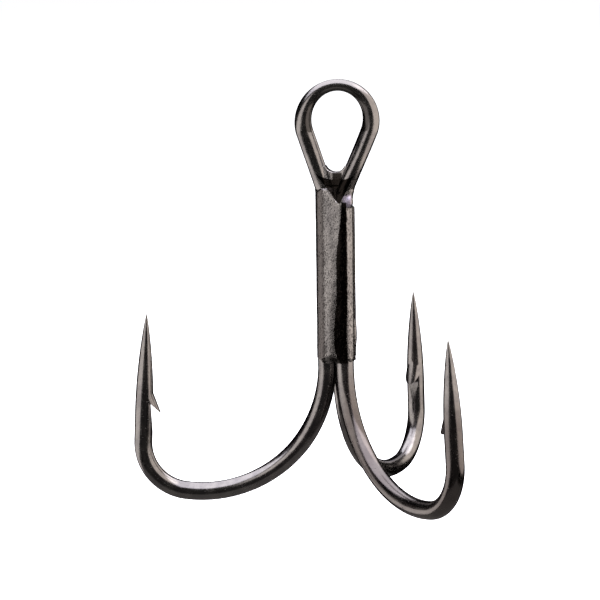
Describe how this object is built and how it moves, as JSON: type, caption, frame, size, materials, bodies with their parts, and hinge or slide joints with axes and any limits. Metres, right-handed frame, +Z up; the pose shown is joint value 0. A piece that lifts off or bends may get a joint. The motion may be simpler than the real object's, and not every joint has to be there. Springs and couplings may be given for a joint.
{
  "type": "treble hook",
  "caption": "Barbed fishing hook with hooks standing round one brazed shank and a closed wire eye at its top.",
  "frame": {"origin": "inside top of the eye, where a ring or a knot bears", "axes": "+Z up along the shank away from the bends, +Y is the direction in which the hook of the second wire stands out"},
  "size_m": [0.0295, 0.0258, 0.0347],
  "materials": {
    "plated_wire": "glossy black nickel plate over drawn steel wire",
    "plated_braze": "black nickel plate over braze, rougher and pitted"
  },
  "bodies": {
    "root": {"double_hook_wire": "plated_wire", "single_hook_wire": "plated_wire", "braze_core": "plated_braze", "braze_fillet_front": "plated_braze", "braze_fillet_left": "plated_braze", "braze_fillet_right": "plated_braze", "braze_neck_web": "plated_braze"}
  },
  "joints": []
}
